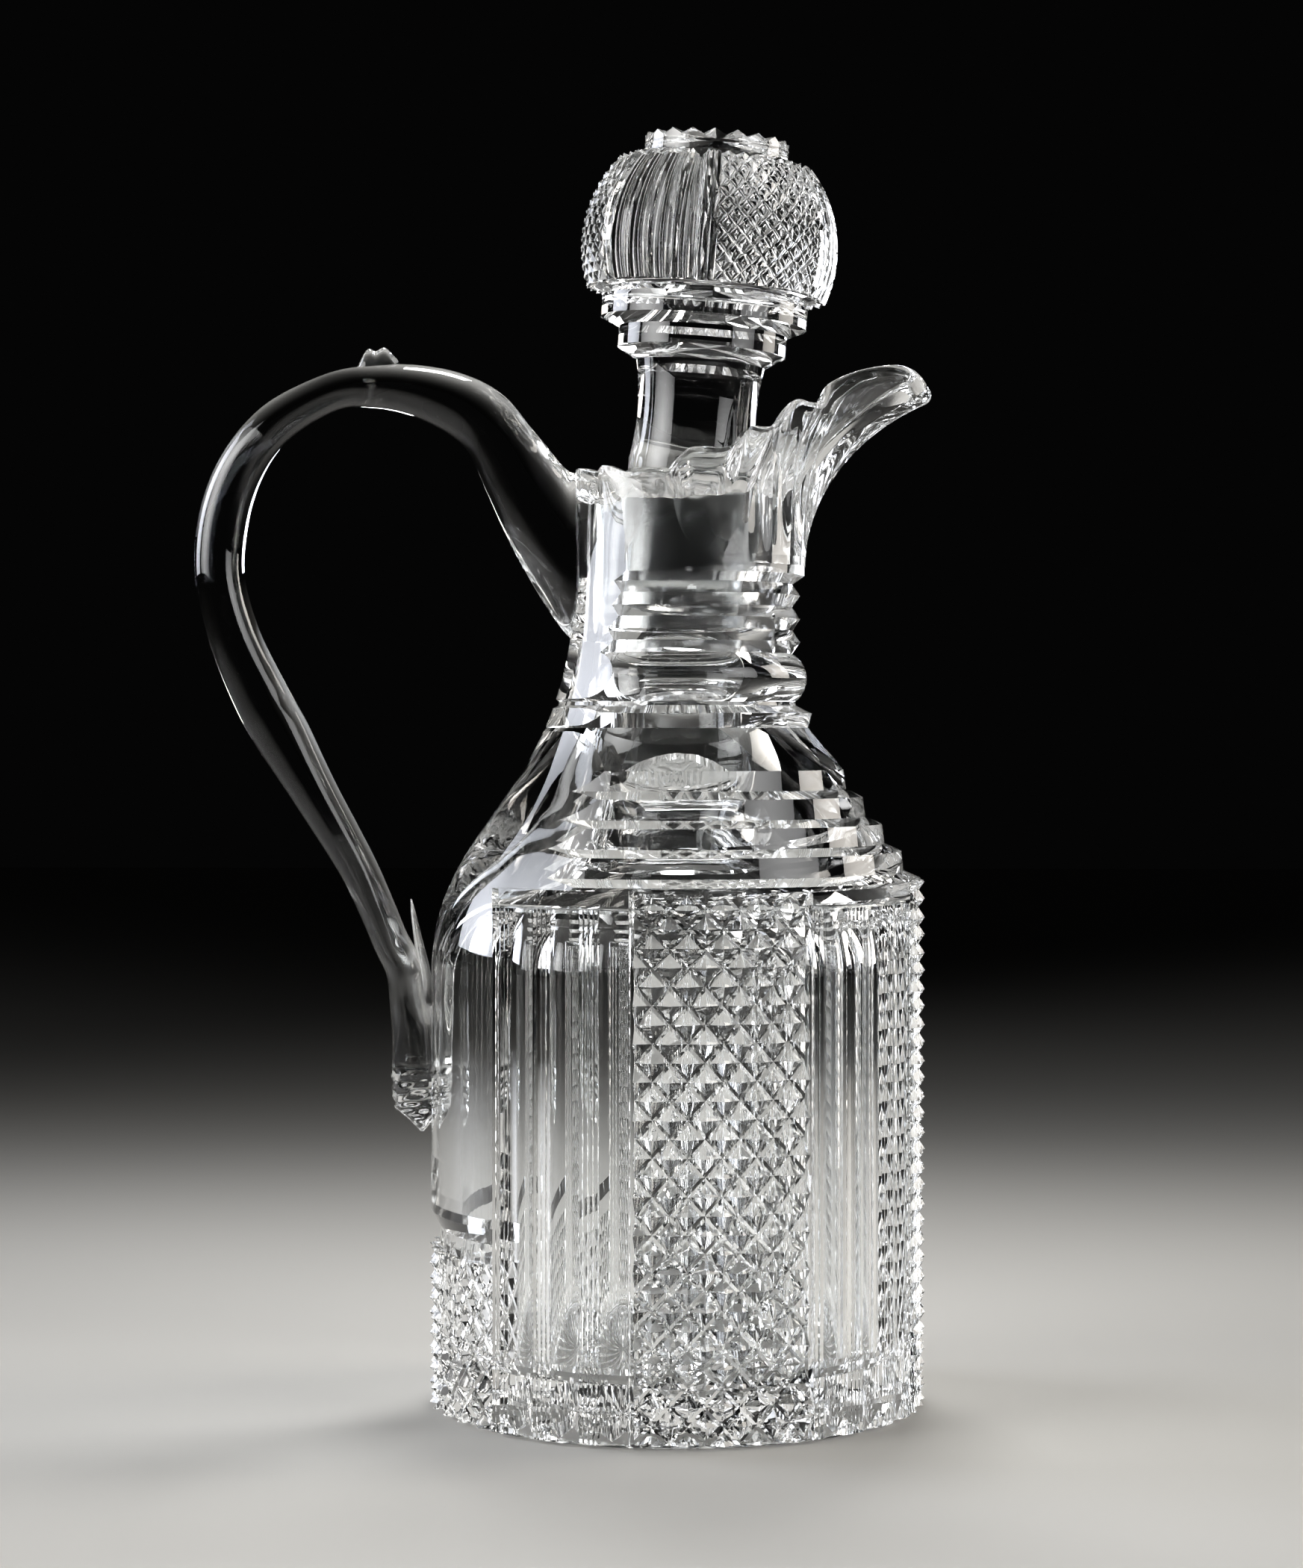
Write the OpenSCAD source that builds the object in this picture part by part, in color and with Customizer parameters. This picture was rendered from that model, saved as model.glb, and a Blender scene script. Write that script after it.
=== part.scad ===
// Claret jug of cut lead crystal: a heavy blown body, a loop handle applied hot,
// and a cut ball stopper that lifts out of its ground socket.
// Millimetres. +Z is up, the spout points along +X and the handle along -X.
// The origin is the middle of the base, on the table.

/* [Body] */
// Diameter of the body over the points of the cutting
body_d = 113.4; // [106:0.2:122]
// Height of the straight cut side, from the table to the shoulder
body_h = 119.9; // [108:0.1:132]
// Thickness of the glass behind the cutting
body_wall = 5; // [4:0.5:7]
// Thickness of the glass under the cavity
base_t = 12; // [8:0.5:18]
// Height of the plain foot below the cutting
foot_h = 0.8; // [0.5:0.1:3]

/* [Cutting] */
// Angle that one panel of diamonds takes up
diamond_panel = 42; // [36:1:46]
// Angle that one panel of flutes takes up
flute_panel = 35.5; // [30:0.5:38]
// Flutes in one panel
flute_n = 3; // [2:1:4]
// Depth of one flute
flute_depth = 1.2; // [0.6:0.1:1.8]
// Plain band left above the flutes
flute_top = 4.5; // [2:0.5:10]
// Width of one diamond over its corners
diamond = 8.3; // [6.5:0.1:12]
// Height of a diamond's point above its grooves
diamond_h = 2.1; // [1.2:0.1:2.8]
// Width of the mitre cut between two panels
mitre_w = 1.6; // [0.8:0.1:3]
// Height of the diamonds that go round the back, below the handle
back_h = 40; // [30:1:50]
// Height of the bevel above those diamonds
bevel_h = 5; // [2:0.5:8]

/* [Shoulder] */
// Steps cut round the shoulder
step_n = 4; // [3:1:5]
// Height of one step
step_h = 6.2; // [5.2:0.1:7]
// Depth of one step
step_run = 4.4; // [3.8:0.1:4.8]
// Rise of a tread from its edge to the next riser
tread_rise = 1.7; // [0.6:0.1:2.6]
// Lean of a riser
riser_lean = 0.6; // [0:0.1:1.2]
// Height of the cone above the steps
cone_h = 9.5; // [7:0.5:13]

/* [Neck] */
// Diameter of the neck over its rings
neck_d = 56.4; // [53:0.2:62]
// Height of the pointed collar above the cone
collar_h = 5.5; // [4:0.5:8]
// Height of the rounded bead above the collar
bead_h = 11.4; // [8:0.2:14]
// Pointed rings above the bead
ring_n = 3; // [2:1:4]
// Height of one pointed ring
ring_h = 5.3; // [4.5:0.1:6.5]
// Depth of the grooves between the rings
ring_depth = 1.8; // [1:0.1:2.4]
// Height of the plain neck from the rings to the rim at the back
lip_h = 26; // [22:0.5:32]
// How far the plain strip at the back lies inside the neck's rings
back_flat = 4.7; // [2:0.1:6]

/* [Spout] */
// Reach of the spout's tip from the middle of the body
spout_reach = 58.4; // [52:0.2:64]
// Height of the spout's edge above the rim at the back
spout_rise = 25; // [18:0.5:30]
// Width of the spout over its edges
spout_w = 19; // [15:0.5:24]
// Thickness of the glass at the rim
rim_t = 4; // [3:0.5:5]

/* [Handle] */
// Reach of the handle from the middle of the body
handle_reach = 111.7; // [104:0.5:120]
// Height of the handle's crest above the rim at the back
handle_rise = 24.8; // [20:0.2:32]
// Thickness of the loop, seen from the side
handle_t = 10; // [8:0.5:12]
// Breadth of the loop, seen from behind
handle_b = 13; // [10:0.5:17]
// Height of the handle's lower end above the table
handle_foot = 62; // [56:0.5:70]

/* [Stopper] */
// Lean of the stopper and its socket towards the spout, in degrees
lean = 4.3; // [0:0.1:5]
// Diameter of the ground plug at its top
plug_d = 32; // [28:0.5:34]
// Length of the ground plug
plug_l = 38; // [26:1:42]
// Taper of the plug: loss of diameter over its length
plug_taper = 4; // [2:0.5:6]
// Gap round the plug in its socket
fit_gap = 0.15; // [0.1:0.05:0.4]
// Height of the waisted shank above the plug
shank_h = 28.3; // [22:0.1:34]
// Diameter of the shank at its waist
waist_d = 26.8; // [22:0.2:28]
// Diameter of the wide disc under the ball
disc_d = 47.2; // [42:0.2:51]
// Height of each of the two discs, with its bevel
disc_h = 6.6; // [5:0.1:8]
// Diameter of the ball over its cutting
ball_d = 59; // [54:0.5:64]
// Height of the ball between its flats
ball_h = 32; // [28:0.5:36]
// Depth of the cutting on the ball
ball_cut = 1.5; // [0.8:0.1:2]
// Width of one diamond on the ball
ball_diamond = 6.4; // [5:0.1:9]
// Angle that one fluted panel of the ball takes up
ball_fluted = 58; // [54:1:66]
// Flutes in one panel of the ball
ball_flutes = 5; // [3:1:6]
// Diameter of the star-cut cap
cap_d = 33; // [28:0.5:38]
// Height of the cap
cap_h = 4.3; // [3:0.1:6]
// Points round the cap's edge
cap_n = 20; // [14:1:26]

/* [Hidden] */
$fn = 96;

body_r = body_d / 2;
core_r = body_r - diamond_h - 0.3;
tile_in = core_r - 1.5;
band_h = 1.2;
mitre_deg = mitre_w / body_r * 180 / PI;

// Angles of the panels, from the spout round to the handle
panel_1 = diamond_panel / 2;
panel_2 = panel_1 + flute_panel;
panel_3 = panel_2 + diamond_panel;
panel_4 = panel_3 + flute_panel;

// Heights up the shoulder and neck
z_cone = body_h + step_n * step_h;
z_collar = z_cone + cone_h;
z_bead = z_collar + collar_h;
z_rings = z_bead + bead_h;
z_plain = z_rings + ring_n * ring_h;
z_rim = z_plain + lip_h;
z_bowl = z_plain + 6;

// Radii up the shoulder and neck
shoulder_r = body_r - 1;
cone_r = shoulder_r - step_n * step_run;
neck_r = neck_d / 2;
groove_r = neck_r - ring_depth;
plain_r = neck_r + 1;
back_r = neck_r - back_flat;
bore_r = (plug_d - plug_taper) / 2 + 1;

// Socket: its axis leans about this point on the body's own axis
z_pivot = z_bead + 7;
mouth = (z_rim - 1 - z_pivot) / cos(lean);
plug_r = plug_d / 2;
plug_tip_r = (plug_d - plug_taper) / 2;

// Points along a curve that leaves and arrives vertically
function s_curve(r0, z0, r1, z1, n) = [
    for (i = [0 : n])
        let (t = i / n, u = 1 - t, h = z1 - z0, za = z0 + 0.39 * h, zb = z1 - 0.58 * h)
        [r0 * (u^3 + 3 * u^2 * t) + r1 * (3 * u * t^2 + t^3),
         z0 * u^3 + 3 * za * u^2 * t + 3 * zb * u * t^2 + z1 * t^3]
];

function lerp(a, b, t) = a + (b - a) * t;

// A smooth curve through four points in a row, at t from the second to the third
function through(a, b, c, d, t) =
    0.5 * (2 * b + (c - a) * t + (2 * a - 5 * b + 4 * c - d) * t^2 + (3 * b - a - 3 * c + d) * t^3);

// Every stretch of a list of points, in k steps each
function smooth(p, k) = [
    for (i = [0 : len(p) - 2], j = [0 : k - 1])
        through(p[max(i - 1, 0)], p[i], p[i + 1], p[min(i + 2, len(p) - 1)], j / k),
    p[len(p) - 1]
];

// A closed skin over rings of points that all have the same count, with flat ends
module loft(rings) {
    n = len(rings[0]);
    m = len(rings);
    skin = [
        for (i = [0 : m - 2], j = [0 : n - 1])
            let (a = i * n + j, b = i * n + (j + 1) % n, c = a + n, d = b + n)
            each [[a, d, b], [a, c, d]]
    ];
    ends = [[for (j = [0 : n - 1]) j], [for (j = [0 : n - 1]) m * n - 1 - j]];
    polyhedron([for (ring = rings) each ring], concat(skin, ends), convexity = 6);
}

// A slab of cut glass between two angles. Each row gives the radius and height of its
// grooves, and relief adds to the radius at each crossing of the pattern, by row and column.
// inner holds the radius and height of the slab's two back edges, and edge is the angle by
// which its front is narrower at each side.
module tile(a0, a1, rows, cols, relief, inner, edge) {
    m = len(rows) - 1;
    n = cols;
    front = [
        for (j = [0 : m], i = [0 : n])
            let (a = lerp(a0 + edge, a1 - edge, i / n), r = rows[j][0] + relief[j % 2][i % 2])
            [r * cos(a), r * sin(a), rows[j][1]]
    ];
    back = [
        for (j = [0, 1], i = [0 : n])
            let (a = lerp(a0, a1, i / n), r = inner[j][0])
            [r * cos(a), r * sin(a), inner[j][1]]
    ];
    k = (m + 1) * (n + 1);
    w = n + 1;
    faces = [
        for (j = [0 : m - 1], i = [0 : n - 1])
            let (p = j * w + i, q = p + 1, s = p + w, t = s + 1)
            each (relief[j % 2][i % 2] >= relief[j % 2][(i + 1) % 2]
                ? [[p, q, s], [q, t, s]] : [[p, q, t], [p, t, s]])
    ];
    backs = [
        for (i = [0 : n - 1])
            let (p = k + i, q = k + w + i)
            each [[p, q, q + 1], [p, q + 1, p + 1]]
    ];
    lows = [for (i = [0 : n - 1]) each [[i, k + i, k + i + 1], [i, k + i + 1, i + 1]]];
    highs = [
        for (i = [0 : n - 1])
            let (p = m * w + i, q = k + w + i)
            each [[p, p + 1, q + 1], [p, q + 1, q]]
    ];
    left = [
        for (j = [0 : m - 1]) [j * w, j * w + w, k],
        [m * w, k + w, k]
    ];
    right = [
        for (j = [0 : m - 1]) [j * w + n, k + n, j * w + w + n],
        [m * w + n, k + n, k + w + n]
    ];
    polyhedron(concat(front, back),
        [for (f = concat(faces, backs, lows, highs, left, right)) [f[0], f[2], f[1]]], convexity = 8);
}

// Relief of the pattern of diamonds
function points_up(h) = [[0, h], [h, 0]];

// A panel of diamonds on the straight side, from z0 to z1
module body_diamonds(a0, a1, z0, z1, top) {
    arc = (a1 - a0) / 180 * PI * body_r;
    cols = max(4, 2 * round(arc / diamond));
    count = max(2, round(2 * (z1 - z0) / diamond));
    rows = [for (j = [0 : count]) [body_r - diamond_h, lerp(z0, z1, j / count)]];
    tile(a0, a1, rows, cols, points_up(diamond_h),
        [[tile_in, z0], [tile_in, z1 + top]], mitre_deg / 2);
}

// A panel of hollow flutes on the straight side, with its centre at angle a
module body_flutes(a) {
    half = flute_panel / 2;
    reach = body_r * 1.2;
    pitch = (flute_panel - mitre_deg) / flute_n;
    chord = body_r * sin(pitch / 2);
    cut_r = (chord^2 + flute_depth^2) / (2 * flute_depth);
    rotate([0, 0, a])
    difference() {
        translate([0, 0, foot_h])
        linear_extrude(body_h - foot_h - band_h / 2)
        intersection() {
            difference() {
                circle(body_r);
                circle(tile_in);
            }
            polygon([
                [0, 0],
                reach * [cos(half - mitre_deg / 2), sin(-half + mitre_deg / 2)],
                reach * [cos(half - mitre_deg / 2), sin(half - mitre_deg / 2)]
            ]);
        }
        for (i = [0 : flute_n - 1])
            rotate([0, 0, (i - (flute_n - 1) / 2) * pitch])
            translate([body_r - flute_depth + cut_r, 0, -1])
            cylinder(r = cut_r, h = body_h - flute_top + 1);
    }
}

// Half outline, on the axis side, of the blank that the cutting is made in
blank_curve = s_curve(body_r - 0.4, body_h - 21.4, back_r, z_plain + 3, 14);
core_curve = [for (p = blank_curve) if (p[0] - 1 < core_r) [p[0] - 1, p[1]]];

// The glass under the cutting, all the way round
module core() {
    rotate_extrude()
    polygon(concat(
        [[0, 0], [core_r - foot_h, 0], [core_r, foot_h]],
        [[core_r, core_curve[0][1] - 4]],
        core_curve,
        [[back_r - 1, z_bowl - 0.5], [0, z_bowl - 0.5]]
    ));
}

// The steps, cone, collar, bead and rings, cut everywhere but at the back
module stepped_side() {
    in = back_r - 3;
    steps = [
        for (i = [0 : step_n - 1])
            let (r = shoulder_r - i * step_run, z = body_h + i * step_h)
            each [[r, z], [r - step_run + riser_lean, z + tread_rise]]
    ];
    bead = [
        for (a = [-60 : 20 : 60])
            [groove_r + 3.3 * (cos(a) - 0.5) / 0.5, z_bead + bead_h * (0.5 + 0.5 * sin(a) / sin(60))]
    ];
    rings = [
        for (i = [0 : ring_n - 1])
            each [[neck_r, z_rings + (i + 0.5) * ring_h], [groove_r, z_rings + (i + 1) * ring_h]]
    ];
    rotate([0, 0, -panel_4])
    rotate_extrude(angle = 2 * panel_4)
    polygon(concat(
        [[in, body_h - band_h - 8], [shoulder_r - 8, body_h - band_h - 8], [shoulder_r, body_h - band_h]],
        steps,
        [[cone_r, z_cone], [neck_r + 1.8, z_collar], [neck_r + 2.7, z_collar + 0.6 * collar_h]],
        bead,
        rings,
        [[plain_r, z_plain + 2], [plain_r, z_bowl], [in, z_bowl]]
    ));
}

// The strip at the back that is left plain for the handle
module plain_side() {
    half = 180 - panel_4 + 0.6;
    rotate([0, 0, 180 - half])
    rotate_extrude(angle = 2 * half)
    polygon(concat(
        [[back_r - 3, back_h], [core_r, back_h], [body_r - 0.4, back_h + bevel_h]],
        blank_curve,
        [[back_r, z_bowl + 1], [back_r - 3, z_bowl + 1]]
    ));
}

// Crest of the rim over half of the mouth, from the tip of the spout to the back
rim_half = [
    [spout_reach, 0, z_rim + 0.74 * spout_rise],
    [spout_reach - 2.4, 0.29 * spout_w, z_rim + 0.86 * spout_rise],
    [spout_reach - 5, 0.39 * spout_w, z_rim + 0.93 * spout_rise],
    [spout_reach - 10, 0.46 * spout_w, z_rim + 0.94 * spout_rise],
    [spout_reach - 17, 0.5 * spout_w, z_rim + 0.86 * spout_rise],
    [spout_reach - 22.8, 0.58 * spout_w, z_rim + 0.73 * spout_rise],
    [spout_reach - 24.8, 0.65 * spout_w, z_rim + 0.6 * spout_rise],
    [1.02 * neck_r, 0.53 * neck_r, z_rim + 0.6 * spout_rise],
    [0.92 * neck_r, 0.61 * neck_r, z_rim + 0.51 * spout_rise],
    [0.83 * neck_r, 0.68 * neck_r, z_rim + 0.36 * spout_rise],
    [0.64 * neck_r, 0.8 * neck_r, z_rim + 0.36 * spout_rise],
    [0.46 * neck_r, 0.89 * neck_r, z_rim + 0.16 * spout_rise],
    [0.14 * neck_r, 0.95 * neck_r, z_rim + 0.14 * spout_rise],
    [-0.06 * neck_r, 0.95 * neck_r, z_rim - 0.06 * spout_rise],
    [-0.38 * neck_r, 0.86 * neck_r, z_rim - 0.07 * spout_rise],
    [-0.76 * back_r, 0.6 * neck_r, z_rim - 0.02 * spout_rise],
    [-0.95 * back_r, 0.28 * neck_r, z_rim],
    [-back_r, 0, z_rim]
];

rim_side = smooth(rim_half, 2);
rim_far_side = [for (i = [len(rim_side) - 2 : -1 : 1]) [rim_side[i][0], -rim_side[i][1], rim_side[i][2]]];
rim = concat(rim_side, rim_far_side);

// The neck's own radius at an angle from the spout, where the rim's glass leaves it
function neck_at(a) =
    let (t = max(0, min(1, (abs(a) - 100) / 60)))
    lerp(plain_r, back_r, t * t * (3 - 2 * t)) + 0.2;

// The axis of the socket at a height
function socket_x(z) = (z - z_pivot) * tan(lean);

// One ring of the bowl outside, at t from the neck to the rim
function bowl_outside(t) = [
    for (p = rim)
        let (
            a = atan2(p[1], p[0]), r = neck_at(a), u = 1 - t,
            low = [r * cos(a), r * sin(a), z_bowl - 2],
            h = p[2] - low[2] - 1.2,
            turn = [lerp(low[0], p[0], 0.35), lerp(low[1], p[1], 0.35), low[2] + 0.8 * h],
            up = low + [0, 0, 0.4 * h],
            edge = [p[0], p[1], p[2] - 1.2]
        )
        u^3 * low + 3 * u^2 * t * up + 3 * u * t^2 * turn + t^3 * edge
];

// One ring of the mouth inside, at t from the rim's crest to the socket
function mouth_inside(t) = [
    for (p = rim)
        let (
            z_low = z_rim - 9, x0 = socket_x(z_low), a = atan2(p[1], p[0] - x0),
            b = plug_r - 2, far = norm([p[0] - x0, p[1]]),
            start = 1 - rim_t / 2 / far, s = lerp(start, b / far, t),
            fall = 0.8 + 0.85 * exp(-abs(atan2(p[1], p[0])) / 7)
        )
        [x0 + (p[0] - x0) * s, p[1] * s, lerp(p[2], z_low, t^fall)]
];

// The top of the neck with its scalloped rim and pinched spout
module bowl() {
    loft(concat(
        [for (t = [0, 0.2, 0.4, 0.6, 0.8, 1]) bowl_outside(t)],
        [for (t = [0, 0.12, 0.25, 0.45, 0.7, 1]) mouth_inside(t)]
    ));
}

// The inside of the body, up to the socket
module cavity() {
    r = body_r - diamond_h - body_wall;
    rotate_extrude()
    polygon(concat(
        [[0, base_t], [r - 6, base_t], [r - 1.8, base_t + 1.8], [r, base_t + 6]],
        s_curve(r, body_h - 20, bore_r, z_bead + 13, 14),
        [[0, z_bead + 13]]
    ));
}

// The ground socket and the bore below it, on the stopper's leaning axis
module socket() {
    translate([0, 0, z_pivot])
    rotate([0, lean, 0])
    rotate_extrude()
    polygon([
        [0, -1],
        [plug_tip_r + fit_gap, -1],
        [plug_tip_r + fit_gap, mouth - plug_l],
        [plug_r + fit_gap, mouth],
        [plug_r + fit_gap + 3, mouth + 12],
        [0, mouth + 12]
    ]);
}

module jug_body() {
    color("aliceblue")
    difference() {
        union() {
            core();
            stepped_side();
            plain_side();
            bowl();
            z_top = body_h - band_h / 2;
            body_diamonds(-panel_1, panel_1, foot_h, z_top, 0);
            for (side = [0, 1])
                mirror([0, side, 0]) {
                    body_diamonds(panel_2, panel_3, foot_h, z_top, 0);
                    body_flutes(panel_1 + flute_panel / 2);
                    body_flutes(panel_3 + flute_panel / 2);
                }
            body_diamonds(panel_4, 360 - panel_4, foot_h, back_h - 3, 4);
        }
        cavity();
        socket();
    }
}

// The loop of the handle, as a row of sections. Each gives its middle, as shares of the way
// out to the loop's far side and of its rise over the rim, then its thickness, its breadth,
// and the way its outer side faces, in degrees from straight up.
wall_x = 1 - body_r;
upper_loop = [
    [-0.04, -0.76, 38, 16, 0],
    [0.02, -0.75, 38, 18, 0],
    [0.13, -0.2, 29, 18, 8],
    [0.21, 0.27, 22.4, 17, 10],
    [0.29, 0.57, 16.6, 15.5, 1],
    [0.405, 0.74, handle_t + 2.5, handle_b + 1, -2],
    [0.525, 0.795, handle_t - 0.2, handle_b, -2],
    [0.645, 0.735, handle_t - 1.2, handle_b, -15],
    [0.8, 0.407, handle_t + 0.3, handle_b, -26],
    [0.898, -0.145, handle_t + 2.2, handle_b, -45],
    [0.934, -0.83, handle_t + 1.5, handle_b, -84],
    [0.9, -1.456, handle_t + 1.7, handle_b, -104],
    [0.824, -2.08, handle_t + 3, handle_b, -112]
];

// The straight part on the way down, as shares of the way in to the body and down to the foot
lower_loop = [
    [0.358, 0.395, handle_t + 3, handle_b, -119],
    [0.502, 0.489, handle_t + 0.6, handle_b, -123],
    [0.675, 0.599, handle_t - 1.2, handle_b, -118],
    [0.761, 0.6675, handle_t - 1.7, handle_b + 1, -114],
    [0.816, 0.715, handle_t - 1.8, handle_b + 2, -112]
];

// The tail that is pressed on the body, in millimetres out from its wall and up from its foot
pressed_end = [
    [6.9, 36.5, 9, handle_b + 3, -104],
    [5.7, 29.6, 9.7, handle_b + 4, -96],
    [4.7, 22.8, 10.8, handle_b + 4, -91],
    [4.5, 12.5, 11, handle_b + 3, -90],
    [4.4, 7.4, 10.6, handle_b + 1, -90],
    [4, 4, 8.6, handle_b - 1, -86],
    [3.2, 0, 2, 4, -75]
];

handle_path = smooth(concat(
    [for (s = upper_loop) [lerp(-back_r, -handle_reach, s[0]), z_rim + handle_rise * s[1], s[2], s[3], s[4]]],
    [for (s = lower_loop)
        [lerp(-handle_reach, wall_x, s[0]), lerp(z_rim, handle_foot, s[1]), s[2], s[3], s[4]]],
    [for (s = pressed_end) [wall_x - s[0], handle_foot + s[1], s[2], s[3], s[4]]]
), 3);

// One section of the handle
handle_sides = 14;
function handle_ring(p) = [
    for (j = [0 : handle_sides - 1])
        let (w = -j * 360 / handle_sides, s = p[2] / 2 * cos(w))
        [p[0] + s * sin(p[4]), p[3] / 2 * sin(w), p[1] + s * cos(p[4])]
];

module handle() {
    color("azure")
    union() {
        loft([for (p = handle_path) handle_ring(p)]);
        thumb_crest();
        spur();
    }
}

// The crest on top of the loop, pinched up in two points for the thumb. Each row gives a step
// along the loop, then the crest's half breadth and height.
module thumb_crest() {
    x = lerp(-back_r, -handle_reach, 0.523);
    z = z_rim + handle_rise - 3;
    rows = [
        [7.2, 0.5, 1], [6, 1.6, 3], [3.9, 2.4, 5.4], [2, 2.8, 7],
        [0.1, 2.6, 6.1], [-1.8, 2.7, 6.6], [-3.8, 2, 3.2], [-5, 0.5, 1]
    ];
    loft([
        for (v = rows) [for (w = [0 : 45 : 315]) [x + v[0], v[1] * sin(w), z + max(-2, v[2] * cos(w))]]
    ]);
}

// The thin spur that stands up between the loop and the body. Each row gives its height over
// the handle's foot, then its half breadth, half thickness and distance from the wall.
module spur() {
    rows = [
        [24, 5.5, 1.6, 2.2], [31, 5, 1.5, 2.1], [37, 4.2, 1.3, 2.7],
        [43, 3, 0.95, 3.9], [49, 1.6, 0.6, 5], [52.8, 0.5, 0.3, 5.6]
    ];
    loft([
        for (v = rows) [
            for (w = [0 : 45 : 315])
                [wall_x - v[3] + v[2] * cos(w), -v[1] * sin(w), handle_foot + v[0]]
        ]
    ]);
}

// The ball's widest place above its lower flat, and the pattern that goes three times round it
ball_low = 11.2;
ball_turn = 34.5;
ball_repeat = 120;

// Radius of the ball at a height above its lower flat
function ball_at(h) = sqrt(max(1, (ball_d / 2)^2 - (h - ball_low)^2));

// A panel on the ball between two angles
module ball_panel(a0, a1, cols, relief) {
    count = max(6, 2 * round(ball_h / 5.1) + 1);
    rows = [
        for (j = [0 : count])
            let (h = lerp(0.5, ball_h - 1.5, j / count))
            [ball_at(h) - ball_cut, h]
    ];
    r0 = ball_at(0.5) - 5;
    r1 = ball_at(ball_h - 1.5) - 5;
    tile(a0, a1, rows, cols, relief, [[r0, 0.5], [r1, ball_h - 1.5]], 0.8);
}

// The star-cut cap: points round its edge, and facets that run to the middle
module cap() {
    n = 2 * cap_n;
    r = cap_d / 2;
    low = [for (i = [0 : n - 1]) [r * cos(i * 360 / n), r * sin(i * 360 / n), -3]];
    edge = [
        for (i = [0 : n - 1])
            [r * cos(i * 360 / n), r * sin(i * 360 / n), cap_h - (i % 2 == 0 ? 0 : 1.4)]
    ];
    mid = [for (i = [0 : n - 1]) [0.2 * r * cos(i * 360 / n), 0.2 * r * sin(i * 360 / n), cap_h - 0.9]];
    loft([low, edge, mid]);
}

// The plug, waisted shank and two discs, from the tip of the plug up
module stem() {
    plug_mid = plug_r - 1.2;
    d1 = disc_d / 2;
    d2 = d1 - 4.3;
    z1 = shank_h;
    z2 = z1 + disc_h;
    z3 = z2 + disc_h;
    shank = [
        for (i = [0 : 10])
            let (t = i / 10, bow = 4 * t * (1 - t))
            [lerp(plug_mid, d2 - 4.6, t) - bow * (plug_mid - waist_d / 2 - 0.3), lerp(3, z1 - 2.8, t)]
    ];
    rotate_extrude()
    polygon(concat(
        [[0, -plug_l + 1.5], [plug_tip_r - 1.4, -plug_l + 1.5], [plug_tip_r - 0.1, -plug_l + 2.8]],
        [[plug_r - 0.15, -1.2], [plug_mid, 0.4]],
        shank,
        [[d2, z1], [d2, z2 - 2], [d1, z2], [d1, z3 - 1.8], [d1 - 2, z3 - 0.4], [d1 - 2, z3 + 3], [0, z3 + 3]]
    ));
}

module stopper() {
    z_ball = shank_h + 2 * disc_h - 0.6;
    ball_core = ball_d / 2 - ball_cut - 0.3;
    cut_deg = ball_repeat - ball_fluted;
    cols = max(4, 2 * round(cut_deg / 360 * PI * ball_d / ball_diamond));
    color("white")
    translate([0, 0, z_pivot])
    rotate([0, lean, 0])
    translate([0, 0, mouth])
    union() {
        stem();
        translate([0, 0, z_ball]) {
            intersection() {
                translate([0, 0, ball_low])
                sphere(ball_core);
                cylinder(r = ball_d, h = ball_h);
            }
            for (a = [ball_turn : ball_repeat : 359])
                rotate([0, 0, a]) {
                    ball_panel(0, cut_deg, cols, points_up(ball_cut));
                    ball_panel(-ball_fluted, 0, 2 * ball_flutes, [[ball_cut, 0], [ball_cut, 0]]);
                }
            translate([0, 0, ball_h])
            cap();
        }
    }
}

jug_body();
handle();
stopper();
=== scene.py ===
# %% [markdown]
# # Claret jug of cut lead crystal
# The jug has three pieces of glass: a heavy blown and wheel-cut body, a handle that was drawn from
# a hot rod and fused on, and a cut stopper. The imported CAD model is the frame: it says where each
# piece is and how the stopper moves. This lesson makes the glass that is seen.

# %% Load the frame
import math

import bmesh
import bpy
from mathutils import Matrix, Vector


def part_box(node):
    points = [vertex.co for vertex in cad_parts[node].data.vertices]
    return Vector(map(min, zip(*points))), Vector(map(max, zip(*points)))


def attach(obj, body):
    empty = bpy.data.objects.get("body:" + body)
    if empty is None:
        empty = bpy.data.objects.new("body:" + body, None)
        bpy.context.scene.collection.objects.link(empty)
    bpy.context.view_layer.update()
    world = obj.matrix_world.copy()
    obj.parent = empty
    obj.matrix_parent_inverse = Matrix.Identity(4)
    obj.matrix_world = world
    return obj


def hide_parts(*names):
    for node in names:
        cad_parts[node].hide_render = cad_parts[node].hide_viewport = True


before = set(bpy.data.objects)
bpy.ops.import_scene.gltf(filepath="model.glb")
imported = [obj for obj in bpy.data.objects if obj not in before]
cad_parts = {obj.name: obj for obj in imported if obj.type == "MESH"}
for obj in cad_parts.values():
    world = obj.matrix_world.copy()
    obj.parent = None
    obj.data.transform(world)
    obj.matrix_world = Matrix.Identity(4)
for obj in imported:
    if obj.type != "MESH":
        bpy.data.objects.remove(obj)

scene = bpy.context.scene
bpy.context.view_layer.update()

# %% [markdown]
# ## Sizes
# The glass is built in millimetres, because that is how a cutter measures it, and scaled to metres
# at the end. The sizes were worked out from the photograph, and they follow the CAD model's.

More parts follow.
